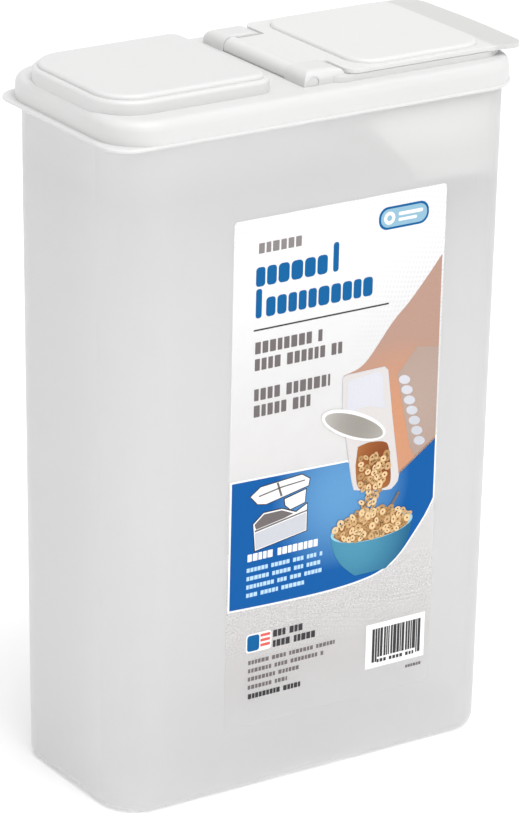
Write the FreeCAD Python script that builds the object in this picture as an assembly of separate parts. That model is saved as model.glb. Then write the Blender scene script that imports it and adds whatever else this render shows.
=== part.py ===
import FreeCAD, Part
import math
import os
from FreeCAD import Vector

# Cereal dispenser: a tall translucent storage box with a press-on lid, a flip-top pour flap
# and a bag collar under the pour opening.  Millimetres, +Z up.
# Origin: centre of the container's footprint, on the surface it stands on.
# +X runs along the broad front wall towards the pour end, -Y is the labelled front.

# ---- container ----
RIM_LENGTH = 200.0          # outer length at the lid's lip
RIM_DEPTH = 97.4            # outer depth at the lid's lip
RIM_CORNER = 22.0           # radius of the vertical corners there
LIP_LEVEL = 300.0           # height above the base where that length and depth are met
DRAFT = 3.5                 # how far each wall leans in between the lip's level and the foot
WALL = 1.4
FLOOR = 1.6
FOOT_ROUND = 5.0            # rounding where the walls meet the base
FRONT_CHANNEL_HALF = 23.0   # the base is lifted between the corner pads
FRONT_CHANNEL_RISE = 1.4
SIDE_CHANNEL_HALF = 13.0
SIDE_CHANNEL_RISE = 2.8
CHANNEL_FLARE = 1.5         # slope of a channel's ends

# ---- lid ----
SKIRT_GAP = 0.3             # between container wall and skirt
SKIRT_WALL = 1.3
SKIRT_CORNER = 20.5
LIP_BOTTOM = LIP_LEVEL + 0.7
LIP_THICK = 1.5
LIP_EDGE_ROUND = 0.65
LIP_REACH = 2.0             # how far the lip stands out from the container's wall
LIP_REACH_LEFT = 4.2        # wider at the closed end, where fingers lift the lid
LIP_CORNER_LEFT = 12.5
LIP_CORNER_RIGHT = 20.0
SHELF_LEVEL = LIP_LEVEL + 12.4
SHELF_ROUND = 4.0
PLATE = 1.6                 # thickness of the lid's plates
RIM_GAP = 0.1               # under the lid's plate
CLEAR_ABOVE = LIP_LEVEL + 30    # above every part of the lid, for cutting tools
DECK_FOOT = LIP_LEVEL + 4   # inside the skirt, where the raised decks are rooted

DECK_LEFT = -99.6           # raised deck on the closed side
DECK_RIGHT = -19.4
DECK_HALF = 38.8
DECK_LEVEL = LIP_LEVEL + 18.2
DECK_CORNER_OUTER = 19.0
DECK_CORNER_INNER = 8.0
DECK_EDGE_ROUND = 1.6
DECK_PAD_INSET = 2.4        # raised pad on top of the deck
DECK_PAD_LEVEL = LIP_LEVEL + 20.2
PAD_ROUND = 1.7

# ---- hinge ----
HINGE_X = -1.2
HINGE_Z = LIP_LEVEL + 13.8
BARREL_RADIUS = 4.3
BARREL_SINK = 0.4           # the flap's upper surface meets the barrel this far below its top
TROUGH_GAP = 0.4            # around the barrel, where it sinks into the lid
PIN_RADIUS = 2.4
PIN_GAP = 0.08              # radial running clearance of the stub pins
LUG_INNER = 24.0            # |y| of the lugs' inner and outer faces
LUG_OUTER = 39.2
LUG_LEFT = -6.0
LUG_RIGHT = 14.6
LUG_LEVEL = LIP_LEVEL + 18.5
LUG_CROWN_ROUND = 4.0
LUG_TOE = 1.5               # the lug's front slopes back this far, and its brow starts at LUG_BROW
LUG_BROW = 6.0
LUG_TOE_ROUND = 1.0
LUG_BROW_ROUND = 5.0
LUG_INNER_ROUND = 0.6       # along the lug's top edge on the flap's side
PIN_END_GAP = 0.3           # the pins stop short of the lugs' outer faces

# ---- pour side ----
POUR_LEFT = 5.0             # raised pour deck under the flap
POUR_ROOT = 0.0             # its sloping top starts here, under the flap's tongue
POUR_RIGHT = 100.2
POUR_CORNER = 17.0
POUR_ROOT_CORNER = 9.6      # its other corners, which curve in behind the hinge lugs
MOUTH_LEFT = 30.0           # pour opening
MOUTH_RIGHT = 84.0
MOUTH_HALF = 31.0
MOUTH_CORNER = 12.0

# ---- flap: height of its upper surface along X ----
FLAP_THICK = 1.9
FLAP_TIP = 106.6
FLAP_BOW = 1.8              # how far the thumb edge bows out in its middle
FLAP_HALF = 41.4            # the pour deck's long sides are flush with the flap's
FLAP_BOW_RADIUS = 381.0     # radius of the thumb edge in its middle
TONGUE_HALF = 23.7
FLAP_LINE = [
    (2.0, LIP_LEVEL + 17.1),
    (20.0, LIP_LEVEL + 17.3),
    (88.0, LIP_LEVEL + 17.2),
    (FLAP_TIP + FLAP_BOW, LIP_LEVEL + 16.2),
]
FLAP_SHOULDER = 15.4        # x where the tongue widens into the flap
SHOULDER_ROUND = 5.0
SHOULDER_INNER_ROUND = 0.6  # in the corner between tongue and flap
TIP_CORNER = 8.0
FLAP_GAP = 0.2              # between the closed flap and the pour deck
PAD_LEFT = 22.2
PAD_RIGHT = 88.5
PAD_HALF = 38.4
PAD_CORNER = 12.0
PAD_LEVEL = LIP_LEVEL + 18.9
PLUG_GAP = 0.25             # between the plug ring and the pour opening
PLUG_WALL = 1.3
PLUG_DEEP = 2.6             # below the flap's underside

# ---- bag collar under the pour opening ----
CHUTE_WALL = 1.3
CHUTE_HALF = 44.0
CHUTE_LEFT = 14.0
CHUTE_RIGHT = 90.5
CHUTE_CORNER = 17.0
CHUTE_BOTTOM = LIP_LEVEL - 33.5
CHUTE_SLOPE_TOP = (20.0, LIP_LEVEL - 2.0)
CHUTE_SLOPE_FOOT = (50.0, CHUTE_BOTTOM)
CHUTE_TURN = 10.0           # radius of the collar's lower corner
FLANGE_REACH = 1.0
FLANGE_THICK = 1.4
SLOPE_LEAD = 4.0            # the wall leans in a little from here down to the slope
SLOPE_ROUND = 6.0           # where the collar's wall turns into the slope
SLOPE_OFFSET = 1.4          # the slope's wall, measured along X, per unit of wall
FOOT_TURN = 5.0             # radius of the collar's other lower corner
SEAT_GAP = 0.1
SEAT_WALL = 1.2
SEAT_DEEP = 3.4

# ---- label ----
LABEL_LEFT = -45.6
LABEL_RIGHT = 62.0
LABEL_TOP = LIP_LEVEL - 37.5
LABEL_HEIGHT = 232.0
LABEL_THICK = 0.2
LABEL_CORNER = 1.5

# ---- construction ----
TINY = 1e-4                 # lengths below this count as nothing
OVERCUT = 1.0               # how far a cutting tool runs past what it cuts


def draft_at(z):
    """How far the container's outer wall stands in from its size at the lip."""
    return DRAFT * (LIP_LEVEL - z) / LIP_LEVEL


def rounded_wire(corners, at):
    """Closed wire through (u, v, radius) corners; at(u, v) places a point in space."""
    spans = []
    count = len(corners)
    for index, (u, v, radius) in enumerate(corners):
        corner = Vector(u, v, 0)
        before = Vector(*corners[index - 1][:2], 0)
        after = Vector(*corners[(index + 1) % count][:2], 0)
        towards_before = (before - corner).normalize()
        towards_after = (after - corner).normalize()
        half = towards_before.getAngle(towards_after) / 2
        reach = radius / math.tan(half)
        bisector = (towards_before + towards_after).normalize()
        middle = corner + bisector * (radius / math.sin(half) - radius)
        spans.append((corner + towards_before * reach, middle, corner + towards_after * reach, radius))
    edges = []
    for index, (start, middle, end, radius) in enumerate(spans):
        if radius > 0:
            arc = Part.Arc(at(start.x, start.y), at(middle.x, middle.y), at(end.x, end.y))
            edges.append(arc.toShape())
        following = spans[(index + 1) % count][0]
        if (following - end).Length > TINY:
            line = Part.LineSegment(at(end.x, end.y), at(following.x, following.y))
            edges.append(line.toShape())
    return Part.Wire(edges)


def rectangle(x0, x1, half_depth, radius):
    """Rounded rectangle, centred on the X axis."""
    return [
        (x0, -half_depth, radius),
        (x1, -half_depth, radius),
        (x1, half_depth, radius),
        (x0, half_depth, radius),
    ]


def plan_prism(corners, z0, z1):
    """Upright prism over a plan outline."""
    wire = rounded_wire(corners, lambda x, y: Vector(x, y, z0))
    return Part.Face(wire).extrude(Vector(0, 0, z1 - z0))


def side_prism(corners, y0, y1):
    """Prism along Y of an outline drawn in X and Z."""
    wire = rounded_wire(corners, lambda x, z: Vector(x, y0, z))
    return Part.Face(wire).extrude(Vector(0, y1 - y0, 0))


def both_sides(shape):
    """The shape and its mirror image across the XZ plane."""
    return [shape, shape.mirror(Vector(0, 0, 0), Vector(0, 1, 0))]


def union(first, *others):
    """One shape out of several, without seams between coplanar faces."""
    shape = first
    for other in others:
        shape = shape.fuse(other)
    return shape.removeSplitter()


def one_solid(shape):
    """The single solid of a boolean result."""
    if len(shape.Solids) != 1:
        raise ValueError("expected one solid, found %d" % len(shape.Solids))
    return shape.Solids[0]


def edges_at(shape, z):
    """Edges that lie level at height z."""
    return [edge for edge in shape.Edges
            if abs(edge.BoundBox.ZMin - z) < TINY and abs(edge.BoundBox.ZMax - z) < TINY]


def wall_wire(offset, z):
    """Outline of the container's outer wall at height z, moved outward by offset."""
    out = offset - draft_at(z)
    half_length = RIM_LENGTH / 2 + out
    corners = rectangle(-half_length, half_length, RIM_DEPTH / 2 + out, RIM_CORNER + out)
    return rounded_wire(corners, lambda x, y: Vector(x, y, z))


def wall_block(offset, z0, z1):
    """Solid block that follows the container's wall."""
    return Part.makeLoft([wall_wire(offset, z0), wall_wire(offset, z1)], True, True)


def channel_section(half, top):
    """Section of a channel: flat roof at height top, sloping ends, open below."""
    foot = half + CHANNEL_FLARE
    return [(-foot, -OVERCUT, 0), (foot, -OVERCUT, 0), (foot, 0, 0),
            (half, top, 0), (-half, top, 0), (-foot, 0, 0)]


def base_channels(lift, widen):
    """The two crossing channels under the base; lift and widen give the floor above them."""
    section = channel_section(FRONT_CHANNEL_HALF + widen, FRONT_CHANNEL_RISE + lift)
    front = side_prism(section, -RIM_DEPTH, RIM_DEPTH)
    section = channel_section(SIDE_CHANNEL_HALF + widen, SIDE_CHANNEL_RISE + lift)
    wire = rounded_wire(section, lambda y, z: Vector(-RIM_LENGTH, y, z))
    side = Part.Face(wire).extrude(Vector(2 * RIM_LENGTH, 0, 0))
    return front.fuse(side)


def container_body():
    rim = SHELF_LEVEL - PLATE - RIM_GAP
    outside = wall_block(0, 0, rim)
    outside = outside.makeFillet(FOOT_ROUND, edges_at(outside, 0))
    outside = outside.cut(base_channels(0, 0))
    inside = wall_block(-WALL, FLOOR, rim + OVERCUT)
    inside = inside.makeFillet(FOOT_ROUND - WALL, edges_at(inside, FLOOR))
    inside = inside.cut(base_channels(FLOOR, WALL))
    return one_solid(outside.cut(inside))


def front_label():
    tilt = math.degrees(math.atan2(DRAFT, LIP_LEVEL))
    wire = rounded_wire([
        (LABEL_LEFT, -LABEL_HEIGHT, LABEL_CORNER),
        (LABEL_RIGHT, -LABEL_HEIGHT, LABEL_CORNER),
        (LABEL_RIGHT, 0, LABEL_CORNER),
        (LABEL_LEFT, 0, LABEL_CORNER),
    ], lambda x, z: Vector(x, 0, z))
    film = Part.Face(wire).extrude(Vector(0, -LABEL_THICK, 0))
    film.rotate(Vector(0, 0, 0), Vector(1, 0, 0), tilt)
    film.translate(Vector(0, -RIM_DEPTH / 2 + draft_at(LABEL_TOP), LABEL_TOP))
    return film


def flap_height(x):
    """Height of the flap's upper surface above the base at x."""
    for (x0, z0), (x1, z1) in zip(FLAP_LINE, FLAP_LINE[1:]):
        if x <= x1:
            break
    return z0 + (z1 - z0) * (x - x0) / (x1 - x0)


def deck(grow, top):
    """Block of the raised deck on the closed side, grown outward by grow."""
    outer = DECK_CORNER_OUTER + grow
    inner = DECK_CORNER_INNER + grow
    half = DECK_HALF + grow
    corners = [(DECK_LEFT - grow, -half, outer), (DECK_RIGHT + grow, -half, inner),
               (DECK_RIGHT + grow, half, inner), (DECK_LEFT - grow, half, outer)]
    return plan_prism(corners, DECK_FOOT, top)


def pour_deck(grow, below):
    """Block under the flap whose top keeps a set distance below the flap's upper surface."""
    half = FLAP_HALF + grow
    corner = POUR_CORNER + grow
    root = POUR_ROOT_CORNER + grow
    plan = plan_prism(
        [(POUR_LEFT - grow, -half, root), (POUR_RIGHT + grow, -half, corner),
         (POUR_RIGHT + grow, half, corner), (POUR_LEFT - grow, half, root)],
        DECK_FOOT, CLEAR_ABOVE)
    kinks = [FLAP_TIP, FLAP_LINE[2][0], FLAP_LINE[1][0], POUR_ROOT]
    roof = [(x, flap_height(x) - below, 0) for x in kinks]
    foot = [(POUR_ROOT, LIP_LEVEL, 0), (FLAP_TIP, LIP_LEVEL, 0)]
    side = side_prism(foot + roof, -RIM_DEPTH, RIM_DEPTH)
    return plan.common(side)


def hinge_rod(radius, half_length):
    """Cylinder on the hinge axis, centred on the lid."""
    start = Vector(HINGE_X, -half_length, HINGE_Z)
    return Part.makeCylinder(radius, 2 * half_length, start, Vector(0, 1, 0))


def lug():
    """One hinge lug on the -Y side, with the bore for the flap's pin."""
    foot = SHELF_LEVEL - PLATE
    seat = flap_height(LUG_RIGHT) - FLAP_THICK - FLAP_GAP
    arch = LUG_LEVEL - HINGE_Z
    block = side_prism([
        (LUG_LEFT, foot, 0),
        (LUG_RIGHT, foot, 0),
        (LUG_RIGHT, seat, 0),
        (LUG_RIGHT - LUG_TOE, LUG_LEVEL - LUG_TOE_ROUND, LUG_TOE_ROUND),
        (LUG_RIGHT - LUG_BROW, LUG_LEVEL, LUG_BROW_ROUND),
        (LUG_LEFT, LUG_LEVEL, arch),
    ], -LUG_OUTER, -LUG_INNER)
    crown = rounded_wire([
        (-LUG_OUTER, foot, 0),
        (-LUG_INNER, foot, 0),
        (-LUG_INNER, LUG_LEVEL, LUG_INNER_ROUND),
        (-LUG_OUTER, LUG_LEVEL, LUG_CROWN_ROUND),
    ], lambda y, z: Vector(LUG_LEFT - OVERCUT, y, z))
    length = LUG_RIGHT - LUG_LEFT + 2 * OVERCUT
    crown = Part.Face(crown).extrude(Vector(length, 0, 0))
    return block.common(crown)


def lid_shell():
    """Lid plate, skirt and lift lip, before the openings are cut."""
    half_length = RIM_LENGTH / 2
    half_depth = RIM_DEPTH / 2
    out = SKIRT_GAP + SKIRT_WALL
    outline = rectangle(-half_length - out, half_length + out, half_depth + out, SKIRT_CORNER)
    skirt = plan_prism(outline, LIP_BOTTOM, SHELF_LEVEL)
    skirt = skirt.makeFillet(SHELF_ROUND, edges_at(skirt, SHELF_LEVEL))
    left = -half_length - LIP_REACH_LEFT
    right = half_length + LIP_REACH
    side = half_depth + LIP_REACH
    lip = plan_prism([(left, -side, LIP_CORNER_LEFT), (right, -side, LIP_CORNER_RIGHT),
                      (right, side, LIP_CORNER_RIGHT), (left, side, LIP_CORNER_LEFT)],
                     LIP_BOTTOM, LIP_BOTTOM + LIP_THICK)
    lip_edges = edges_at(lip, LIP_BOTTOM) + edges_at(lip, LIP_BOTTOM + LIP_THICK)
    lip = lip.makeFillet(LIP_EDGE_ROUND, lip_edges)
    return skirt.fuse(lip)


def hinge_trough():
    """Wall of the trough that the barrel sinks into, below the shelf's level."""
    side = 4 * BARREL_RADIUS
    corner = Vector(HINGE_X - side / 2, -LUG_OUTER, SHELF_LEVEL - side)
    trough = hinge_rod(BARREL_RADIUS + TROUGH_GAP + PLATE, LUG_OUTER)
    return trough.common(Part.makeBox(side, 2 * LUG_OUTER, side, corner))


def collar_seat():
    """Ring under the lid's plate that the bag collar's flange fits into."""
    top = SHELF_LEVEL - PLATE
    reach = FLANGE_REACH + SEAT_GAP
    ring = plan_prism(collar_plan(reach + SEAT_WALL), top - SEAT_DEEP, top)
    return ring.cut(plan_prism(collar_plan(reach), top - SEAT_DEEP - OVERCUT, top + OVERCUT))


def lid():
    raised = deck(0, DECK_LEVEL)
    raised = raised.makeFillet(DECK_EDGE_ROUND, edges_at(raised, DECK_LEVEL))
    pad = deck(-DECK_PAD_INSET, DECK_PAD_LEVEL)
    pad = pad.makeFillet(PAD_ROUND, edges_at(pad, DECK_PAD_LEVEL))
    pour = pour_deck(0, FLAP_THICK + FLAP_GAP)
    shell = union(lid_shell(), raised, pad, pour)

    half_length = RIM_LENGTH / 2 + SKIRT_GAP
    half_depth = RIM_DEPTH / 2 + SKIRT_GAP
    outline = rectangle(-half_length, half_length, half_depth, RIM_CORNER + SKIRT_GAP)
    room = plan_prism(outline, LIP_LEVEL - OVERCUT, SHELF_LEVEL - PLATE)
    deck_room = deck(-DECK_PAD_INSET - PLATE, DECK_PAD_LEVEL - PLATE)
    pour_room = pour_deck(-PLATE, FLAP_THICK + FLAP_GAP + PLATE)
    mouth = plan_prism(mouth_outline(0), LIP_LEVEL, CLEAR_ABOVE)
    shell = shell.cut(room.fuse(deck_room).fuse(pour_room)).cut(mouth)
    barrel_room = hinge_rod(BARREL_RADIUS + TROUGH_GAP, LUG_INNER)
    pin_room = hinge_rod(PIN_RADIUS + PIN_GAP, LUG_OUTER)
    shape = union(shell, hinge_trough(), *both_sides(lug())).cut(barrel_room).cut(pin_room)
    return one_solid(union(shape, collar_seat()))


def mouth_outline(inset):
    """Plan of the pour opening, moved inward by inset."""
    return rectangle(MOUTH_LEFT + inset, MOUTH_RIGHT - inset, MOUTH_HALF - inset, MOUTH_CORNER - inset)


def flap_outline():
    """Plan of the flap: narrow tongue at the hinge, wide over the pour deck, bowed thumb edge."""
    front = [(HINGE_X, -TONGUE_HALF, 0), (FLAP_SHOULDER, -TONGUE_HALF, SHOULDER_INNER_ROUND),
             (FLAP_SHOULDER, -FLAP_HALF, SHOULDER_ROUND), (FLAP_TIP, -FLAP_HALF, TIP_CORNER)]
    back = [(x, -y, radius) for x, y, radius in reversed(front)]
    return front + [(FLAP_TIP + FLAP_BOW, 0, FLAP_BOW_RADIUS)] + back


def flip_top():
    profile = [(HINGE_X, HINGE_Z, 0), (HINGE_X, HINGE_Z + BARREL_RADIUS - BARREL_SINK, 0)]
    profile += [(x, z, 0) for x, z in FLAP_LINE]
    profile += [(x, z - FLAP_THICK, 0) for x, z in reversed(FLAP_LINE)]
    sheet = side_prism(profile, -FLAP_HALF, FLAP_HALF)
    sheet = sheet.common(plan_prism(flap_outline(), LIP_LEVEL, CLEAR_ABOVE))
    pad_foot = flap_height(PAD_RIGHT) - FLAP_THICK / 2
    pad = plan_prism(rectangle(PAD_LEFT, PAD_RIGHT, PAD_HALF, PAD_CORNER), pad_foot, PAD_LEVEL)
    pad = pad.makeFillet(PAD_ROUND, edges_at(pad, PAD_LEVEL))
    barrel = hinge_rod(BARREL_RADIUS, TONGUE_HALF)
    pins = hinge_rod(PIN_RADIUS, LUG_OUTER - PIN_END_GAP)
    plug_foot = flap_height(MOUTH_LEFT) - FLAP_THICK - PLUG_DEEP
    plug = plan_prism(mouth_outline(PLUG_GAP), plug_foot, pad_foot)
    hollow = mouth_outline(PLUG_GAP + PLUG_WALL)
    plug = plug.cut(plan_prism(hollow, plug_foot - OVERCUT, pad_foot + OVERCUT))
    return one_solid(union(sheet, pad, barrel, pins, plug))


def collar_plan(grow):
    """Plan of the bag collar, moved outward by grow."""
    left = CHUTE_LEFT - grow
    right = CHUTE_RIGHT + grow
    return rectangle(left, right, CHUTE_HALF + grow, CHUTE_CORNER + grow)


def chute_block(inset, top, bottom):
    """Solid of the bag collar, moved inward by inset."""
    plan = plan_prism(collar_plan(-inset), bottom, top)
    (slope_x, slope_z), (foot_x, foot_z) = CHUTE_SLOPE_TOP, CHUTE_SLOPE_FOOT
    side = side_prism([
        (CHUTE_LEFT, top, 0),
        (CHUTE_LEFT, slope_z + SLOPE_LEAD, 0),
        (slope_x + inset, slope_z, SLOPE_ROUND),
        (foot_x + inset * SLOPE_OFFSET, foot_z, CHUTE_TURN),
        (CHUTE_RIGHT - inset, foot_z, FOOT_TURN),
        (CHUTE_RIGHT - inset, top, 0),
    ], -RIM_DEPTH, RIM_DEPTH)
    return plan.common(side)


def pour_chute():
    top = SHELF_LEVEL - PLATE - RIM_GAP
    outside = chute_block(0, top, CHUTE_BOTTOM)
    flange = plan_prism(collar_plan(FLANGE_REACH), top - FLANGE_THICK, top)
    inside = chute_block(CHUTE_WALL, top + OVERCUT, CHUTE_BOTTOM - OVERCUT)
    return one_solid(outside.fuse(flange).cut(inside).removeSplitter())


PIECES = {
    "container_body": container_body,
    "front_label": front_label,
    "lid": lid,
    "flip_top": flip_top,
    "pour_chute": pour_chute,
}

os.makedirs("parts", exist_ok=True)
for node, make in PIECES.items():
    piece = make()
    if not piece.isValid():
        raise ValueError(node + " is not a valid solid")
    piece.exportStep("parts/%s.step" % node)
    box = piece.optimalBoundingBox(False, False)
    print("%-16s %7.1f cm3  x %.1f..%.1f  y %.1f..%.1f  z %.1f..%.1f" % (
        node, piece.Volume / 1000, box.XMin, box.XMax, box.YMin, box.YMax, box.ZMin, box.ZMax))
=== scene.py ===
import math
import random

import bmesh
import bpy
from mathutils import Matrix, Vector


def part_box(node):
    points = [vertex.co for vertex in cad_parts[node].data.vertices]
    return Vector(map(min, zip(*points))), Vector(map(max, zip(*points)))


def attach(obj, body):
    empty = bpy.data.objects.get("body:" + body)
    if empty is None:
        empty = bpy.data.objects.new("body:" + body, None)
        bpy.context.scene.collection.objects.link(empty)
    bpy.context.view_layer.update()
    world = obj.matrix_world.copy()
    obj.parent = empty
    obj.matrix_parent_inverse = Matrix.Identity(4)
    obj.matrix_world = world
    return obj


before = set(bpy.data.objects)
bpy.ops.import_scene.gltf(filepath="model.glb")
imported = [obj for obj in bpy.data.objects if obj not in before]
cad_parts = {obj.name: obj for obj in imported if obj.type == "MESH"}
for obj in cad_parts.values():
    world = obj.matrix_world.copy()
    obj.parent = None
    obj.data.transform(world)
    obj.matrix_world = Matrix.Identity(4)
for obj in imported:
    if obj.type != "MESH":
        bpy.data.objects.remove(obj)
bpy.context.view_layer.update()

MM = 0.001

# ---- view ----
VIEW_AZIMUTH = math.radians(-33.55)
VIEW_ELEVATION = math.radians(20.69)
VIEW_ROLL = math.radians(0.99)
VIEW_DISTANCE = 1.9197
VIEW_TARGET = Vector((0, 0, 0.150))
VIEW_SHIFT = (0.00103, 0.00654)     # across and up, from the target
LENS = 195.0
SENSOR = 36.0


class Graph:
    """A material's node tree, built with one call per node."""

    def __init__(self, name):
        self.material = bpy.data.materials.new(name)
        self.material.use_nodes = True
        self.tree = self.material.node_tree
        self.tree.nodes.clear()

    def add(self, kind, inputs=None, **settings):
        """New node; inputs maps a socket's name or number to a value or to another node's output."""
        node = self.tree.nodes.new("ShaderNode" + kind)
        for key, value in settings.items():
            setattr(node, key, value)
        for key, value in (inputs or {}).items():
            socket = node.inputs[key]
            if isinstance(value, bpy.types.NodeSocket):
                self.tree.links.new(value, socket)
            else:
                socket.default_value = value
        return node

    def math(self, operation, first, second=0.0, third=0.0):
        """Result of one math operation on values or outputs."""
        node = self.add("Math", {0: first, 1: second, 2: third}, operation=operation)
        return node.outputs[0]

    def position(self):
        """Where a point lies, in metres: as one vector, and as its X, Y and Z outputs."""
        place = self.add("TexCoord").outputs["Object"]
        return place, self.add("SeparateXYZ", {0: place}).outputs

    def noise(self, scale, detail=2.0, vector=None):
        """Soft noise from 0 to 1, fixed to the piece."""
        inputs = {"Scale": scale, "Detail": detail, "Vector": vector or self.position()[0]}
        return self.add("TexNoise", inputs).outputs["Fac"]

    def spread(self, value, low, high, start=0.0, end=1.0):
        """Maps value from start..end to low..high."""
        node = self.add("MapRange", {"Value": value, "From Min": start, "From Max": end,
                                     "To Min": low, "To Max": high})
        return node.outputs["Result"]

    def blend(self, factor, first, second):
        """Colour between two colours."""
        node = self.add("Mix", {"Factor": factor, "A": first, "B": second}, data_type="RGBA")
        return node.outputs["Result"]

    def bump(self, height):
        """Shallow relief of a moulded surface."""
        node = self.add("Bump", {"Height": height, "Strength": RELIEF, "Distance": RELIEF_DEPTH})
        return node.outputs["Normal"]

    def finish(self, shader):
        """Gives the material its surface and returns it."""
        self.add("OutputMaterial", {"Surface": shader})
        return self.material


# ---- plastics ----
# Texture scales are per metre, and tones are linear.
PLASTIC_IOR = 1.49
RELIEF = 0.06               # strength of the moulded surface's relief
RELIEF_DEPTH = 0.1 * MM
GREEN_WARMTH = 0.3          # how far a warm grey's green drops beside its blue

WHITE_MOTTLE = 35.0         # cloudiness in the white plastic
WHITE_GRAIN = 2600.0        # its eroded texture
WHITE_WAVES = 18.0          # and its flow waves
WHITE_WAVE_SHARE = 2.0      # height of the waves beside the grain
WHITE_GLOSS_PATCHES = 40.0
WHITE_ROUGH = (0.30, 0.40)  # roughness from the glossiest to the dullest patch
MOTTLE_SHADE = 0.985        # the mottle's darker tone beside the paler one
MOTTLE_WARMTH = 0.6         # and the paler one's warmth beside the darker one's
SOAK = 0.30                 # share of light that soaks into the white plastic
SOAK_DEPTH = 3 * MM

WALL_CLOUD = 14.0           # cloudiness in the milky wall
WALL_GRAIN = 1800.0
WALL_WAVES = 16.0
WALL_WAVE_SHARE = 3.0
WALL_DARK, WALL_PALE = 0.845, 0.885
WALL_PAINTED_LIP_GLOW = 0.99       # painted glow: the wall's tone right under the lid's lip
WALL_ROUGH = 0.34
WALL_GLOW = 0.84            # share of scattered light that the milky wall passes on inwards or outwards
WALL_PASSES = 0.92          # how much of that light is left
PAINTED_LIP_GLOW_REACH = 24 * MM    # how far down the painted glow under the lip goes
WALL_TINT = 0.97            # what is left of the light that goes straight through
WALL_CLEAR = 0.30           # share of light that goes straight through the milky wall, seen square on
WALL_CLEAR_EDGE = 0.08      # and seen along the wall, where its path through the plastic is long
CLEAR_FACING = (0.45, 0.95) # facing values between which that share falls

THIN_PAINTED_SHADE = 0.83           # painted shade: how bright a single thin layer is painted beside a backed one
THIN_FADE = 3 * MM
FLAP_PAD_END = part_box("flip_top")[1].x - 19 * MM


def grey(value, warmth=0.0):
    """Linear colour of a near-neutral plastic."""
    return (value, value * (1 - warmth * GREEN_WARMTH), value * (1 - warmth), 1)


def moulded_white(name, value, warmth, painted_shade_beyond=None):
    """Satin moulded polypropylene: light soaks into it, over a fine eroded texture and flow waves.

    Beyond the X given as its last argument it is one thin layer, painted darker: painted shade for the
    light that passes through it instead of coming back.
    """
    graph = Graph(name)
    mottle = graph.noise(WHITE_MOTTLE, 3.0)
    colour = graph.blend(mottle, grey(value * MOTTLE_SHADE, warmth), grey(value, warmth * MOTTLE_WARMTH))
    if painted_shade_beyond is not None:
        # painted shade: darker where the flap is one thin layer
        across = graph.position()[1][0]
        thin = graph.spread(across, 0.0, 1.0, painted_shade_beyond, painted_shade_beyond + THIN_FADE)
        colour = graph.blend(thin, colour, grey(value * THIN_PAINTED_SHADE, warmth))
    grain = graph.noise(WHITE_GRAIN)
    waves = graph.noise(WHITE_WAVES, 1.0)
    height = graph.math("MULTIPLY_ADD", waves, WHITE_WAVE_SHARE, grain)
    rough = graph.spread(graph.noise(WHITE_GLOSS_PATCHES), *WHITE_ROUGH)
    solid = graph.add("BsdfPrincipled", {
        "Base Color": colour, "Roughness": rough, "IOR": PLASTIC_IOR,
        "Subsurface Weight": SOAK, "Subsurface Radius": (1.0, 1.0, 1.0), "Subsurface Scale": SOAK_DEPTH,
        "Normal": graph.bump(height),
    })
    return graph.finish(solid.outputs[0])


def milky_wall(name):
    """Thin frosted polypropylene wall: it glows with the light inside and lets some straight through.

    Just under the lid's lip its colour, and the light it passes, are painted paler: a painted glow that
    stands in for light running along the wall inside the plastic.
    """
    graph = Graph(name)
    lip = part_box("lid")[0].z
    # painted glow: paler colour towards the lid's lip
    painted_lip_glow = graph.spread(graph.position()[1][2], 0.0, 1.0, lip - PAINTED_LIP_GLOW_REACH, lip)
    cloud = graph.blend(graph.noise(WALL_CLOUD, 3.0), grey(WALL_DARK), grey(WALL_PALE))
    colour = graph.blend(painted_lip_glow, cloud, grey(WALL_PAINTED_LIP_GLOW))
    grain = graph.noise(WALL_GRAIN)
    waves = graph.noise(WALL_WAVES, 1.0)
    height = graph.math("MULTIPLY_ADD", waves, WALL_WAVE_SHARE, grain)
    solid = graph.add("BsdfPrincipled", {
        "Base Color": colour, "Roughness": WALL_ROUGH, "IOR": PLASTIC_IOR,
        "Normal": graph.bump(height),
    })
    # painted glow: more light passed towards the lid's lip
    passes = graph.blend(painted_lip_glow, grey(WALL_PASSES), grey(1.0))
    glow = graph.add("BsdfTranslucent", {"Color": passes})
    scatter = graph.add("MixShader", {0: WALL_GLOW, 1: solid.outputs[0], 2: glow.outputs[0]})
    clear = graph.add("BsdfTransparent", {"Color": grey(WALL_TINT)})
    facing = graph.add("LayerWeight", {"Blend": 0.5}).outputs["Facing"]
    share = graph.spread(facing, WALL_CLEAR, WALL_CLEAR_EDGE, *CLEAR_FACING)
    shader = graph.add("MixShader", {0: share, 1: scatter.outputs[0], 2: clear.outputs[0]})
    return graph.finish(shader.outputs[0])


def paint(node, material):
    """Gives a CAD node's object a new material."""
    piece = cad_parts[node]
    for slot in piece.material_slots:
        slot.material = material


paint("container_body", milky_wall("milky_polypropylene"))
paint("lid", moulded_white("white_lid_plastic", value=0.66, warmth=0.01))
paint("flip_top", moulded_white("white_flap_plastic", value=0.695, warmth=0.015, painted_shade_beyond=FLAP_PAD_END))
paint("pour_chute", moulded_white("white_collar_plastic", value=0.82, warmth=0.02))


# ---- printed label ----
# Places on the label are (x, down) in millimetres: x as in the frame, down from the label's top edge
# along its face.  Print lies on the film in thin closed plates, one level above another.

FILM_LOW, FILM_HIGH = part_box("front_label")
FILM_THICK = 0.2 * MM
LEAN = math.atan2(FILM_HIGH.y - FILM_LOW.y - FILM_THICK, FILM_HIGH.z - FILM_LOW.z)
LABEL_PLACE = Matrix.Translation((0, FILM_LOW.y, FILM_HIGH.z)) @ Matrix.Rotation(LEAN, 4, "X")
LEVEL = 0.06                # height of one level of print
PLATE = 0.04                # thickness of a printed plate
CORNER_STEPS = 3            # sides to a plate's rounded corner
CURVE_STEPS = 6             # sides between two points of a smooth curve
SHARPEST = 0.4              # limits how far a widened outline's sharp corner may run out


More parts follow.
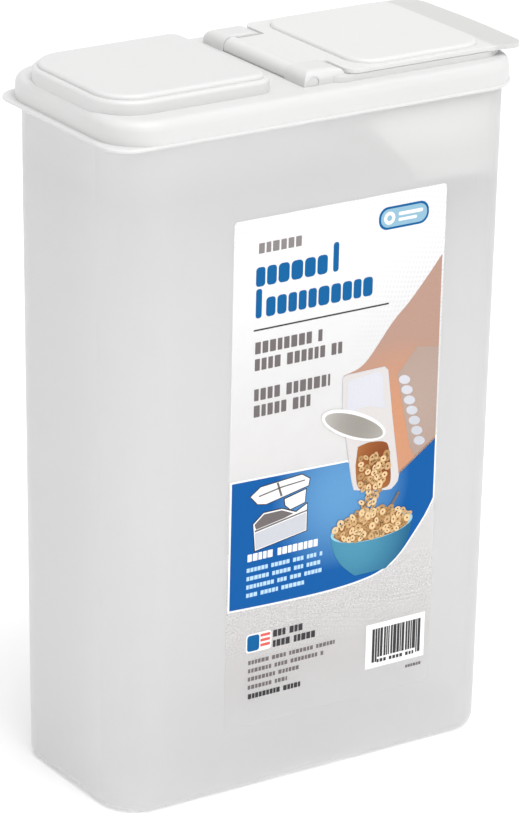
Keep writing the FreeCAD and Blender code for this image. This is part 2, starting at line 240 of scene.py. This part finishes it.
def rectangle(x0, x1, top, bottom, radius=0.0, steps=CORNER_STEPS):
    """Outline of a rectangle, with its corners rounded to a radius."""
    if radius == 0:
        return [(x0, top), (x1, top), (x1, bottom), (x0, bottom)]
    outline = []
    corners = [(x1 - radius, top + radius, -90), (x1 - radius, bottom - radius, 0),
               (x0 + radius, bottom - radius, 90), (x0 + radius, top + radius, 180)]
    for x, down, start in corners:
        for step in range(steps + 1):
            angle = math.radians(start + 90 * step / steps)
            outline.append((x + radius * math.cos(angle), down + radius * math.sin(angle)))
    return outline


def ellipse(x, down, across, tall, turn=0.0, steps=32):
    """Outline of an ellipse; turn is clockwise, in degrees."""
    lean = math.radians(turn)
    outline = []
    for step in range(steps):
        angle = math.tau * step / steps
        u, v = across * math.cos(angle), tall * math.sin(angle)
        outline.append((x + u * math.cos(lean) - v * math.sin(lean),
                        down + u * math.sin(lean) + v * math.cos(lean)))
    return outline


def smooth(points):
    """A curve through points (Catmull-Rom), with its two ends kept."""
    ends = [points[0]] + list(points) + [points[-1]]
    curve = []
    for index in range(1, len(ends) - 2):
        a, b, c, d = (Vector(point) for point in ends[index - 1:index + 3])
        for step in range(CURVE_STEPS):
            t = step / CURVE_STEPS
            curve.append(tuple(0.5 * (2 * b + (c - a) * t + (2 * a - 5 * b + 4 * c - d) * t ** 2
                                      + (3 * b - a - 3 * c + d) * t ** 3)))
    return curve + [tuple(points[-1])]


def widened(outline, by):
    """The outline moved outward by a small distance."""
    count = len(outline)
    area = 0
    for index in range(count):
        (x0, down0), (x1, down1) = outline[index - 1], outline[index]
        area += x0 * down1 - x1 * down0
    side = by if area > 0 else -by
    moved = []
    for index, point in enumerate(outline):
        before = (Vector(point) - Vector(outline[index - 1])).normalized()
        after = (Vector(outline[(index + 1) % count]) - Vector(point)).normalized()
        along = (before + after).normalized()
        reach = side / max(along.dot(after), SHARPEST)
        moved.append((point[0] + along.y * reach, point[1] - along.x * reach))
    return moved


def add_plate(mesh, outline, level, hole=None):
    """Thin closed plate over an outline; a hole has as many points as the outline."""
    rings = []
    for ring in [outline] + ([hole] if hole else []):
        for height in (level * LEVEL - PLATE, level * LEVEL):
            rings.append([mesh.verts.new((x * MM, -height * MM, -down * MM)) for x, down in ring])
    count = len(outline)
    pairs = [(rings[0], rings[1])]
    if hole:
        pairs += [(rings[2], rings[3]), (rings[0], rings[2]), (rings[1], rings[3])]
    else:
        mesh.faces.new(rings[0])
        mesh.faces.new(rings[1])
    for low, high in pairs:
        for index in range(count):
            following = (index + 1) % count
            mesh.faces.new((low[index], low[following], high[following], high[index]))


def printed(name, material, level, outlines, holes=None):
    """One ink's plates at one level, as one piece on the container."""
    mesh = bmesh.new()
    for index, outline in enumerate(outlines):
        add_plate(mesh, outline, level, holes[index] if holes else None)
    bmesh.ops.recalc_face_normals(mesh, faces=mesh.faces)
    data = bpy.data.meshes.new(name)
    mesh.to_mesh(data)
    mesh.free()
    data.transform(LABEL_PLACE)
    data.materials.append(material)
    piece = bpy.data.objects.new(name, data)
    bpy.context.scene.collection.objects.link(piece)
    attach(piece, "container")


GLYPH_WIDTHS = (0.75, 1.15)     # narrowest and widest block beside the usual one
LAST_GLYPH = 0.4                # least share of a block that a row ends with
WORD_BREAK = 0.9                # a word break beside a block


def greeked(x0, x1, top, bottom, glyph, gap, seed, round_share=0.0, word=6):
    """Row of blocks that stands for a line of print, with breaks between words.

    glyph is a block's usual width, and word is about how many blocks a word has.
    """
    choose = random.Random(seed)
    blocks = []
    x = x0
    left = choose.randint(word - 3, word + 2)
    while x < x1 - glyph * LAST_GLYPH:
        width = min(glyph * choose.uniform(*GLYPH_WIDTHS), x1 - x)
        blocks.append(rectangle(x, x + width, top, bottom, round_share * min(width, bottom - top)))
        left -= 1
        if left == 0:
            x += glyph * WORD_BREAK
            left = choose.randint(word - 3, word + 2)
        x += width + gap
    return blocks


PRINT_IOR = 1.5
INK_SPECKS = 1300.0
SPECK_NOISE = (0.35, 0.65)      # noise values from no speck to a full one
INK_MOTTLE = 0.04               # share of dark in a full speck
SPECK_COLOUR = (0.02, 0.02, 0.03, 1)
INK_GLOSS_PATCHES = 90.0
GLOSS_NOISE = (0.3, 0.7)        # noise values from the glossiest to the dullest patch
INK_ROUGH = (0.30, 0.42)        # and their roughness
INK_SHINE = 0.12


def ink(name, colour, other=None, centre=(0, 0), reach=1.0):
    """Printed ink under a thin gloss film; with other, it shades to that colour away from centre."""
    graph = Graph(name)
    place, axes = graph.position()
    tone = (*colour, 1)
    if other:
        across = graph.math("DIVIDE", graph.math("SUBTRACT", axes[0], centre[0] * MM), reach * MM)
        height = FILM_HIGH.z - centre[1] * MM
        rise = graph.math("DIVIDE", graph.math("SUBTRACT", axes[2], height), reach * MM)
        squares = graph.math("MULTIPLY_ADD", across, across, graph.math("MULTIPLY", rise, rise))
        tone = graph.blend(graph.spread(squares, 0.0, 1.0), (*colour, 1), (*other, 1))
    specks = graph.spread(graph.noise(INK_SPECKS, vector=place), 0.0, INK_MOTTLE, *SPECK_NOISE)
    speckled = graph.blend(specks, tone, SPECK_COLOUR)
    rough = graph.spread(graph.noise(INK_GLOSS_PATCHES, vector=place), *INK_ROUGH, *GLOSS_NOISE)
    solid = graph.add("BsdfPrincipled", {"Base Color": speckled, "Roughness": rough, "IOR": PRINT_IOR,
                                         "Specular IOR Level": INK_SHINE})
    return graph.finish(solid.outputs[0])


# The film's print: distances are in millimetres, down from the label's top.
WHITE_FULL, WHITE_GONE = 20.0, 185.0        # where the white ground starts to fade, and where it ends
WHITE_LEAST = 0.03
BARE_FROM, BARE_TO = 208.0, 230.0           # where the film turns quite clear
FILM_TINT = (0.968, 0.955, 0.952, 1)
CLEAR_TINT = (0.998, 0.998, 0.998, 1)
FILM_SHINE, CLEAR_SHINE = 0.04, 0.01
FILM_ROUGH, PAPER_ROUGH = 0.3, 0.34
TOP_DOTS = (4.0, 34.0)                      # down the label: dots in full, then none
RIGHT_DOTS_ACROSS = (12.0, 58.0)            # across it: none, then in full
RIGHT_DOTS = (70.0, 110.0)
LOW_DOTS_START, LOW_DOTS = (150.0, 178.0), (180.0, 205.0)
DOT_PITCH = 1.9
DOT_CORE, DOT_EDGE = 0.05, 0.13             # squared radii of a dot's solid middle and its soft edge
DOT_COLOUR = (0.62, 0.60, 0.64, 1)
DOT_ON_WHITE, DOT_ON_CLEAR = 0.5, 0.35      # how strong the dots are
GRID_SLANT = 0.25
WAVE_RATE, WAVE_HEIGHT = 0.045, 4.0         # the bend in the grid of dots
PAPER_MOTTLE = 120.0
PAPER_DARK, PAPER_PALE = (0.81, 0.805, 0.805, 1), (0.85, 0.845, 0.845, 1)


def dot_grid(graph, x, down):
    """Rows of round dots on a grid bent into waves: 1 in a dot and 0 between dots."""
    wave = graph.math("SINE", graph.math("MULTIPLY", graph.math("ADD", x, down), WAVE_RATE))
    slanted = graph.math("ADD", x, graph.math("MULTIPLY", down, GRID_SLANT))
    waved = graph.math("MULTIPLY_ADD", wave, WAVE_HEIGHT, down)
    offsets = []
    for along in (slanted, waved):
        cell = graph.math("FRACT", graph.math("DIVIDE", along, DOT_PITCH))
        offsets.append(graph.math("SUBTRACT", cell, 0.5))
    squares = [graph.math("MULTIPLY", offset, offset) for offset in offsets]
    return graph.spread(graph.math("ADD", *squares), 1.0, 0.0, DOT_CORE, DOT_EDGE)


def dotted_bands(graph, x, down):
    """Where dots show: near the top, at the right and under the blue panel."""
    top = graph.spread(down, 1.0, 0.0, *TOP_DOTS)
    right = graph.math("MULTIPLY", graph.spread(x, 0.0, 1.0, *RIGHT_DOTS_ACROSS),
                       graph.spread(down, 1.0, 0.0, *RIGHT_DOTS))
    low = graph.math("MULTIPLY", graph.spread(down, 0.0, 1.0, *LOW_DOTS_START),
                     graph.spread(down, 1.0, 0.0, *LOW_DOTS))
    return graph.math("MAXIMUM", graph.math("MAXIMUM", top, right), low)


def label_film():
    """Clear film, printed white at the top and fading out downwards, with rows of pale dots."""
    graph = Graph("label_film")
    place, axes = graph.position()
    down = graph.math("DIVIDE", graph.math("SUBTRACT", FILM_HIGH.z, axes[2]), MM)
    x = graph.math("DIVIDE", axes[0], MM)
    white = graph.spread(down, 1.0, WHITE_LEAST, WHITE_FULL, WHITE_GONE)
    bare = graph.spread(down, 0.0, 1.0, BARE_FROM, BARE_TO)
    dots = graph.math("MULTIPLY", dot_grid(graph, x, down), dotted_bands(graph, x, down))

    paper = graph.blend(graph.noise(PAPER_MOTTLE, vector=place), PAPER_DARK, PAPER_PALE)
    colour = graph.blend(graph.math("MULTIPLY", dots, DOT_ON_WHITE), paper, DOT_COLOUR)
    solid = graph.add("BsdfPrincipled", {"Base Color": colour, "Roughness": PAPER_ROUGH, "IOR": PRINT_IOR})
    tint = graph.blend(bare, FILM_TINT, CLEAR_TINT)
    clear = graph.add("BsdfTransparent", {"Color": tint})
    gloss = graph.add("BsdfGlossy", {"Color": (1, 1, 1, 1), "Roughness": FILM_ROUGH})
    shine = graph.spread(bare, FILM_SHINE, CLEAR_SHINE)
    film = graph.add("MixShader", {0: shine, 1: clear.outputs[0], 2: gloss.outputs[0]})
    amount = graph.math("MAXIMUM", white, graph.math("MULTIPLY", dots, DOT_ON_CLEAR))
    shader = graph.add("MixShader", {0: amount, 1: film.outputs[0], 2: solid.outputs[0]})
    return graph.finish(shader.outputs[0])


paint("front_label", label_film())

WHITE = ink("print_white", (0.87, 0.87, 0.87))
DARK = ink("print_charcoal", (0.045, 0.042, 0.045))
SOFT_DARK = ink("print_warm_grey", (0.16, 0.14, 0.14))
MID_GREY = ink("print_mid_grey", (0.25, 0.225, 0.225))
TITLE_BLUE = ink("print_title_blue", (0.0, 0.108, 0.31))
PALE_BLUE = ink("print_pale_blue", (0.45, 0.66, 0.88))
PANEL_BLUE = ink("print_panel_blue", (0.11, 0.30, 0.56),
                 other=(0.0, 0.095, 0.34), centre=(12, 132), reach=36)
TEAL = ink("print_teal", (0.07, 0.28, 0.41), other=(0.015, 0.12, 0.24), centre=(20, 154), reach=28)
TEAL_PALE = ink("print_pale_teal", (0.30, 0.56, 0.66))
OAT = ink("print_oat", (0.60, 0.38, 0.18))
OAT_PALE = ink("print_pale_oat", (0.77, 0.55, 0.30))
OAT_DARK = ink("print_dark_oat", (0.30, 0.13, 0.04))
TOAST = ink("print_toast", (0.44, 0.25, 0.10))
COCOA = ink("print_cocoa", (0.24, 0.06, 0.015), other=(0.52, 0.22, 0.07), centre=(34, 120), reach=22)
CARTON = ink("print_carton", (0.60, 0.285, 0.16), other=(0.45, 0.28, 0.22), centre=(38, 110), reach=44)
STRIPE = ink("print_stripe", (0.44, 0.33, 0.28), other=(0.38, 0.28, 0.23), centre=(50, 96), reach=40)
PEARL = ink("print_pearl", (0.66, 0.63, 0.62))
BADGE_BLUE = ink("print_badge_blue", (0.27, 0.47, 0.60))
SHADE = ink("print_pale_grey", (0.66, 0.66, 0.71), other=(0.56, 0.57, 0.62), centre=(24, 84), reach=34)
LID_GREY = ink("print_lid_grey", (0.31, 0.29, 0.26), other=(0.46, 0.44, 0.41), centre=(20, 102), reach=18)
CORAL = ink("print_coral", (0.72, 0.12, 0.10))


def panel_outline():
    """Blue panel: straight left and top, right end rising, sweeping lower edge."""
    sweep = smooth([(61.0, 144.5), (57.0, 151.5), (50.5, 160.0), (44.0, 167.5), (37.5, 172.0),
                    (27.0, 175.2), (8.0, 176.8), (-18.0, 176.6), (-44.2, 175.6)])
    return [(-44.2, 117.0), (14.5, 118.6), (41.4, 130.4), (61.0, 116.6)] + sweep


TEXT_LEFT = -34.0
TITLE_STEM_LEFT = -34.2
TEXT_TALL = 5.3
TITLE_TALL = 8.6
TITLE_STEM_WIDE = 3.0
SMALL_TALL = 1.9                # height of the smallest rows of text
SMALL_PITCH = 3.9


def print_words():
    """Headings and text, as rows of blocks."""
    heading = greeked(-33.3, -10.8, 11.0, 15.6, glyph=2.9, gap=0.9, seed=3, round_share=0.1, word=9)
    printed("label_small_heading", MID_GREY, 1, heading)
    first, second = 21.6, 35.6      # tops of the title's two rows
    title = greeked(-34.4, 2.5, first, first + TITLE_TALL,
                    glyph=5.4, gap=0.9, seed=5, round_share=0.32, word=9)
    title.append(rectangle(4.4, 7.2, 17.0, first + TITLE_TALL, radius=1.2))
    title += greeked(-29.0, 31.6, second, second + TITLE_TALL,
                     glyph=5.2, gap=0.9, seed=8, round_share=0.32, word=12)
    stem_right = TITLE_STEM_LEFT + TITLE_STEM_WIDE
    title.append(rectangle(TITLE_STEM_LEFT, stem_right, 31.2, second + TITLE_TALL, radius=1.2))
    printed("label_title", TITLE_BLUE, 1, title)
    printed("label_divider", DARK, 1, [rectangle(-35.0, 33.8, 49.1, 49.8)])
    rows = [(1.3, 54.9), (10.3, 62.4), (4.6, 76.0), (-4.4, 83.4)]      # right end and top
    blocks = []
    for row, (end, top) in enumerate(rows):
        blocks += greeked(TEXT_LEFT, end, top, top + TEXT_TALL,
                          glyph=2.7, gap=0.9, seed=20 + row, round_share=0.1, word=6)
    printed("label_text", SOFT_DARK, 1, blocks)


def print_panel():
    """Blue panel with its white edge, heading and text."""
    panel = panel_outline()
    printed("label_panel_edge", WHITE, 1, [widened(panel, 0.9)])
    printed("label_panel", PANEL_BLUE, 2, [panel])
    heading = greeked(-35.5, 0.8, 151.2, 154.6, glyph=2.3, gap=0.5, seed=31, round_share=0.1, word=8)
    printed("label_panel_heading", WHITE, 3, heading)
    lines = []
    for row, end in enumerate((3.8, 2.6, 3.0, -6.0)):
        top = 157.6 + SMALL_PITCH * row
        lines += greeked(-35.8, end, top, top + SMALL_TALL, glyph=1.6, gap=0.35, seed=40 + row)
    printed("label_panel_text", PALE_BLUE, 3, lines)


def print_pictogram():
    """Generic line drawing of a lid with its collar over an open box."""
    lid = [(-34.6, 124.6), (-29.6, 121.2), (-8.6, 119.6), (-4.6, 122.2), (-5.2, 125.2),
           (-26.6, 129.4), (-31.0, 128.6)]
    collar = [(-17.2, 129.2), (-6.4, 126.8), (-6.8, 132.6), (-14.2, 134.4), (-16.8, 132.0)]
    box = [(-33.0, 137.6), (-27.8, 133.4), (-18.4, 133.4), (-11.2, 136.4), (-5.6, 133.6),
           (-5.6, 146.0), (-31.8, 150.0)]
    opening = [(-32.4, 137.9), (-27.6, 134.0), (-18.6, 134.0), (-12.6, 136.6), (-17.0, 137.8),
               (-31.6, 140.2)]
    front = [(-32.2, 142.0), (-6.0, 137.6), (-6.0, 145.7), (-31.5, 149.5)]
    rim = [(-32.2, 140.6), (-5.6, 136.4), (-5.6, 137.0), (-32.1, 141.4)]
    ridge = [(-30.6, 124.9), (-19.0, 122.9), (-7.0, 122.1), (-7.0, 122.6), (-18.8, 123.5), (-30.4, 125.5)]
    seam = [(-21.6, 120.8), (-20.6, 120.7), (-18.4, 127.2), (-19.4, 127.5)]
    shapes = [lid, collar, box]
    printed("label_pictogram_outline", DARK, 3, [widened(shape, 0.45) for shape in shapes])
    printed("label_pictogram", WHITE, 4, shapes)
    printed("label_pictogram_shade", SHADE, 5, [front])
    printed("label_pictogram_lines", SOFT_DARK, 5, [ridge, seam, opening, rim])


def print_box():
    """The pictured box as it pours: its carton, its white pour end with the flap open, and its mouth."""
    body = smooth([(61.0, 31.6), (54.5, 39.6), (44.6, 50.6), (36.4, 58.2), (25.5, 71.5),
                   (19.4, 76.4), (11.0, 78.4)])
    body += [(32.0, 79.0), (37.4, 103.0), (41.4, 130.4), (61.0, 116.6)]
    printed("label_carton", CARTON, 1, [body])
    stripe = [(49.7, 71.8), (61.0, 74.0), (61.0, 115.2), (50.2, 122.8), (47.5, 118.0), (39.6, 83.0)]
    printed("label_carton_stripe", STRIPE, 2, [stripe])
    marks = []
    for row in range(7):
        x, down = 43.4 + 1.5 * row, 86.0 + 5.0 * row
        marks.append(ellipse(x, down, 3.1, 2.0, turn=20))
    printed("label_carton_marks", SHADE, 3, marks)
    head = [(11.2, 79.6), (13.0, 78.4), (32.6, 78.2), (34.4, 80.0), (37.6, 103.0), (42.0, 130.0)]
    head += smooth([(41.6, 132.6), (39.4, 134.8), (36.0, 135.6), (21.0, 132.8), (18.2, 130.4),
                    (15.6, 118.0), (11.6, 94.0)])
    printed("label_pour_end_edge", SHADE, 3, [widened(head, 0.25)])
    printed("label_pour_end", PEARL, 4, [head])
    fold = smooth([(13.4, 81.4), (22.0, 80.4), (31.0, 80.6), (32.4, 92.0), (33.6, 97.0),
                   (24.0, 94.6), (13.8, 96.4)])
    printed("label_pour_end_shade", SHADE, 5, [fold])
    printed("label_open_flap_edge", WHITE, 6, [ellipse(17.4, 102.0, 18.2, 6.0, turn=24)])
    printed("label_open_flap", LID_GREY, 7, [ellipse(17.6, 102.3, 16.6, 4.6, turn=24)])
    mouth = smooth([(20.0, 112.6), (26.0, 111.6), (33.6, 112.8), (36.2, 116.0), (37.6, 126.0),
                    (37.4, 133.0), (33.0, 134.6), (24.0, 133.6), (20.2, 130.0), (19.0, 120.0)])
    printed("label_mouth", COCOA, 5, [mouth[:-1]])


RING_LOW, RING_HIGH = 1.45, 2.0     # outer radii of the cereal rings
RING_APART = 1.9                    # least distance between two rings' middles
RING_FLATTEST = 0.55                # a ring's height beside its width, seen at the steepest angle
RING_HOLE = (0.30, 0.26)            # its hole's half width and half height beside its own
RING_STEPS = 14
TRIES = 40                          # places tried for each ring wanted


def ring_outlines(places, seed):
    """Cereal rings seen at many angles, as outlines with holes."""
    choose = random.Random(seed)
    outer, inner = [], []
    for x, down in places:
        size = choose.uniform(RING_LOW, RING_HIGH)
        tall = size * choose.uniform(RING_FLATTEST, 1.0)
        turn = choose.uniform(0, 180)
        outer.append(ellipse(x, down, size, tall, turn, RING_STEPS))
        inner.append(ellipse(x, down, size * RING_HOLE[0], tall * RING_HOLE[1], turn, RING_STEPS))
    return outer, inner


def scattered(seed, count, inside, box):
    """Places in an (x0, x1, top, bottom) box that pass a test, kept a little apart."""
    choose = random.Random(seed)
    places = []
    for _ in range(count * TRIES):
        place = (choose.uniform(box[0], box[1]), choose.uniform(box[2], box[3]))
        apart = all(math.dist(place, other) > RING_APART for other in places)
        if len(places) < count and apart and inside(*place):
            places.append(place)
    return places


BOWL_X, BOWL_RIM, BOWL_ACROSS, BOWL_TALL = 28.7, 151.4, 21.6, 6.4
HEAP_INSET = 1.6                    # from the bowl's rim to the heap's edge
HEAP_ABOVE, HEAP_BELOW = 7.4, 6.0   # the heap's reach above and below its middle
FALL_X, FALL_TOP = 29.4, 118        # middle of the stream at its top
FALL_LEAN = 0.14                    # how far it drifts left for each millimetre down
FALL_HALF = 8.0                     # half its width in the mouth
FALL_NECK, FALL_NARROWS = 124, 0.26 # where it starts to narrow, and how fast
MOUTH_LEFT, MOUTH_TOP, MOUTH_SLOPE = 20, 117, 0.1


def in_heap(x, down):
    """Whether a ring lies on the heap in the bowl."""
    below = down - (BOWL_RIM - 1)
    u = (x - BOWL_X) / (BOWL_ACROSS - HEAP_INSET)
    v = below / (HEAP_ABOVE if below < 0 else HEAP_BELOW)
    return u * u + v * v < 1


def in_fall(x, down):
    """Whether a ring lies in the mouth of the poured box or in the stream under it."""
    middle = FALL_X - (down - FALL_TOP) * FALL_LEAN
    half = FALL_HALF - max(down - FALL_NECK, 0) * FALL_NARROWS
    return abs(x - middle) < half and down > MOUTH_TOP + (x - MOUTH_LEFT) * MOUTH_SLOPE


def print_bowl():
    """Bowl of rings, with a spoon, and the rings that fall into it."""
    side = smooth([(BOWL_X + BOWL_ACROSS, BOWL_RIM), (48.4, 160.0), (44.6, 166.4), (38.6, 171.6),
                   (36.8, 173.0)])
    foot = smooth([(20.8, 173.0), (18.8, 171.6), (12.8, 166.0), (8.8, 159.0),
                   (BOWL_X - BOWL_ACROSS, BOWL_RIM)])
    printed("label_bowl", TEAL, 4, [side + foot[:-1]])
    printed("label_bowl_rim", TEAL_PALE, 5, [ellipse(BOWL_X, BOWL_RIM, BOWL_ACROSS, BOWL_TALL, steps=40)])
    heap = smooth([(8.6, 152.4), (11.0, 148.4), (19.0, 144.6), (26.0, 142.8), (35.0, 144.0),
                   (43.0, 147.6), (48.2, 152.0), (44.0, 155.6), (34.0, 157.2), (22.0, 157.2),
                   (13.0, 155.6)])
    printed("label_heap", OAT_DARK, 6, [heap])
    spoon = [(35.4, 147.6), (36.8, 147.9), (42.9, 138.6), (42.6, 137.6), (41.6, 137.8)]
    printed("label_spoon", SOFT_DARK, 6, [spoon])

    places = scattered(seed=11, count=95, inside=in_heap, box=(8, 49, 142, 157.4))
    places += scattered(seed=31, count=52, inside=in_fall, box=(18, 38, 117, 146))
    tones = [("label_rings_dark", TOAST), ("label_rings_toasted", OAT), ("label_rings", OAT_PALE)]
    for turn, (name, colour) in enumerate(tones):
        outer, inner = ring_outlines(places[turn::len(tones)], seed=51 + turn)
        printed(name, colour, 7 + turn, outer, inner)


def print_tag():
    """Small plain tag at the foot, with three bars beside it."""
    printed("label_tag", TITLE_BLUE, 2, [rectangle(-34.6, -28.4, 189.6, 197.0, radius=1.2)])
    bars = [rectangle(-27.8, -22.8, top, top + 1.3, radius=0.3) for top in (189.9, 192.2, 194.5)]
    printed("label_tag_bars", CORAL, 2, bars)
    printed("label_tag_edge", WHITE, 1, [rectangle(-35.3, -22.1, 188.9, 197.7, radius=1.6)])


def print_small_print():
    """Text lines at the foot."""
    bold = greeked(-21.3, -4.4, 189.6, 192.8, glyph=1.9, gap=0.45, seed=51, round_share=0.1, word=5)
    bold += greeked(-21.3, 1.6, 194.4, 197.6, glyph=1.9, gap=0.45, seed=52, round_share=0.1, word=5)
    bold += greeked(-33.6, -6.4, 217.2, 219.6, glyph=1.6, gap=0.35, seed=53, round_share=0.1, word=8)
    printed("label_foot_bold", DARK, 1, bold)
    small = []
    for row, end in enumerate((11.2, 5.6, -5.6, -13.4)):
        top = 201.4 + SMALL_PITCH * row
        small += greeked(-33.8, end, top, top + SMALL_TALL, glyph=1.45, gap=0.45, seed=60 + row, word=7)
    small += greeked(49.6, 58.4, 222.4, 223.8, glyph=1.2, gap=0.3, seed=70, word=9)
    printed("label_foot_text", SOFT_DARK, 1, small)


CODE_LEFT, CODE_RIGHT = 31.2, 56.0
CODE_TOP, CODE_FOOT = 201.2, 215.0
CODE_GUARD_FOOT = 217.2                 # the outermost bars reach lower
BAR_WIDTHS = (0.66, 0.99, 1.32, 1.65)
BAR_GAPS = (0.33, 0.33, 0.33, 0.66)     # three gaps in four are narrow
GUARD_LEFT, GUARD_RIGHT = 1.8, 1.4      # how far in from each end a bar counts as outermost


def print_code():
    """Bar code of made-up bars on its white field."""
    printed("label_code_field", WHITE, 1, [rectangle(27.8, 59.2, 198.6, 219.8)])
    choose = random.Random(77)
    bars = []
    x = CODE_LEFT
    while x < CODE_RIGHT:
        width = choose.choice(BAR_WIDTHS)
        outermost = not CODE_LEFT + GUARD_LEFT < x < CODE_RIGHT - GUARD_RIGHT
        foot = CODE_GUARD_FOOT if outermost else CODE_FOOT
        bars.append(rectangle(x, x + width, CODE_TOP, foot))
        x += width + choose.choice(BAR_GAPS)
    bars += greeked(34.0, 53.6, 216.0, 217.6, glyph=1.3, gap=0.5, seed=78, word=5)
    printed("label_code_bars", DARK, 2, bars)


def print_badge():
    """Plain pill-shaped badge with a ring mark, at the label's top right."""
    printed("label_badge_edge", TITLE_BLUE, 1, [rectangle(27.2, 53.0, 5.8, 16.0, radius=4.6, steps=8)])
    printed("label_badge", BADGE_BLUE, 2, [rectangle(28.2, 52.0, 6.8, 15.0, radius=3.9, steps=8)])
    ring, hole = ellipse(32.6, 10.9, 2.9, 2.9), ellipse(32.6, 10.9, 1.3, 1.3)
    printed("label_badge_mark", WHITE, 3, [ring], [hole])
    bars = [rectangle(37.2, 49.8, 8.9, 10.5, radius=0.6), rectangle(37.2, 46.8, 11.6, 13.0, radius=0.6)]
    printed("label_badge_bars", WHITE, 3, bars)


print_words()
print_panel()
print_pictogram()
print_box()
print_bowl()
print_tag()
print_small_print()
print_code()
print_badge()


# ---- studio ----

FLOOR_HALF = 12.0
PAPER_TONE = (0.95, 0.95, 0.95, 1)


def floor():
    """Pale paper floor, far larger than the view."""
    mesh = bpy.data.meshes.new("studio_floor")
    sides = [(-1, -1), (1, -1), (1, 1), (-1, 1)]
    mesh.from_pydata([(x * FLOOR_HALF, y * FLOOR_HALF, 0) for x, y in sides], [], [(0, 1, 2, 3)])
    piece = bpy.data.objects.new("studio_floor", mesh)
    bpy.context.scene.collection.objects.link(piece)
    graph = Graph("studio_paper")
    soft = graph.add("BsdfDiffuse", {"Color": PAPER_TONE})
    mesh.materials.append(graph.finish(soft.outputs[0]))


SKY = 0.875                 # brightness of the studio's surroundings
SKY_SIDES = 0.58            # and straight to the left and right


def studio_world():
    """White surroundings, dimmer towards both sides."""
    world = bpy.data.worlds.new("studio")
    world.use_nodes = True
    tree = world.node_tree
    place = tree.nodes.new("ShaderNodeTexCoord")
    axes = tree.nodes.new("ShaderNodeSeparateXYZ")
    sideways = tree.nodes.new("ShaderNodeMath")
    sideways.operation = "ABSOLUTE"
    level = tree.nodes.new("ShaderNodeMapRange")
    level.inputs["To Min"].default_value = SKY
    level.inputs["To Max"].default_value = SKY_SIDES
    background = tree.nodes["Background"]
    background.inputs["Color"].default_value = (1.0, 1.0, 1.0, 1)
    tree.links.new(place.outputs["Generated"], axes.inputs[0])
    tree.links.new(axes.outputs["X"], sideways.inputs[0])
    tree.links.new(sideways.outputs[0], level.inputs["Value"])
    tree.links.new(level.outputs["Result"], background.inputs["Strength"])
    bpy.context.scene.world = world


def soft_light(name, towards, strength, spread):
    """Large distant softbox; towards points from the object to the light, spread is in degrees."""
    light = bpy.data.lights.new(name, "SUN")
    light.energy = strength
    light.angle = math.radians(spread)
    piece = bpy.data.objects.new(name, light)
    piece.rotation_euler = Vector(towards).to_track_quat("Z", "Y").to_euler()
    bpy.context.scene.collection.objects.link(piece)


def camera():
    """Long lens at the view's azimuth, elevation and roll, shifted a little off the target."""
    data = bpy.data.cameras.new("camera")
    data.sensor_width = SENSOR
    data.lens = LENS
    back = Vector((math.sin(VIEW_AZIMUTH) * math.cos(VIEW_ELEVATION),
                   -math.cos(VIEW_AZIMUTH) * math.cos(VIEW_ELEVATION),
                   math.sin(VIEW_ELEVATION)))
    level = Vector((math.cos(VIEW_AZIMUTH), math.sin(VIEW_AZIMUTH), 0))
    rise = back.cross(level)
    right = level * math.cos(VIEW_ROLL) + rise * math.sin(VIEW_ROLL)
    up = rise * math.cos(VIEW_ROLL) - level * math.sin(VIEW_ROLL)
    place = VIEW_TARGET + back * VIEW_DISTANCE + right * VIEW_SHIFT[0] + up * VIEW_SHIFT[1]
    turn = Matrix((right, up, back)).transposed().to_4x4()
    piece = bpy.data.objects.new("camera", data)
    piece.matrix_world = Matrix.Translation(place) @ turn
    bpy.context.scene.collection.objects.link(piece)
    bpy.context.scene.camera = piece


floor()
studio_world()
soft_light("key", towards=(0.0, -0.36, 0.93), strength=1.85, spread=50.0)
soft_light("fill", towards=(-0.10, -0.97, 0.18), strength=0.43, spread=40.0)
camera()
bpy.context.scene.view_settings.view_transform = "Standard"
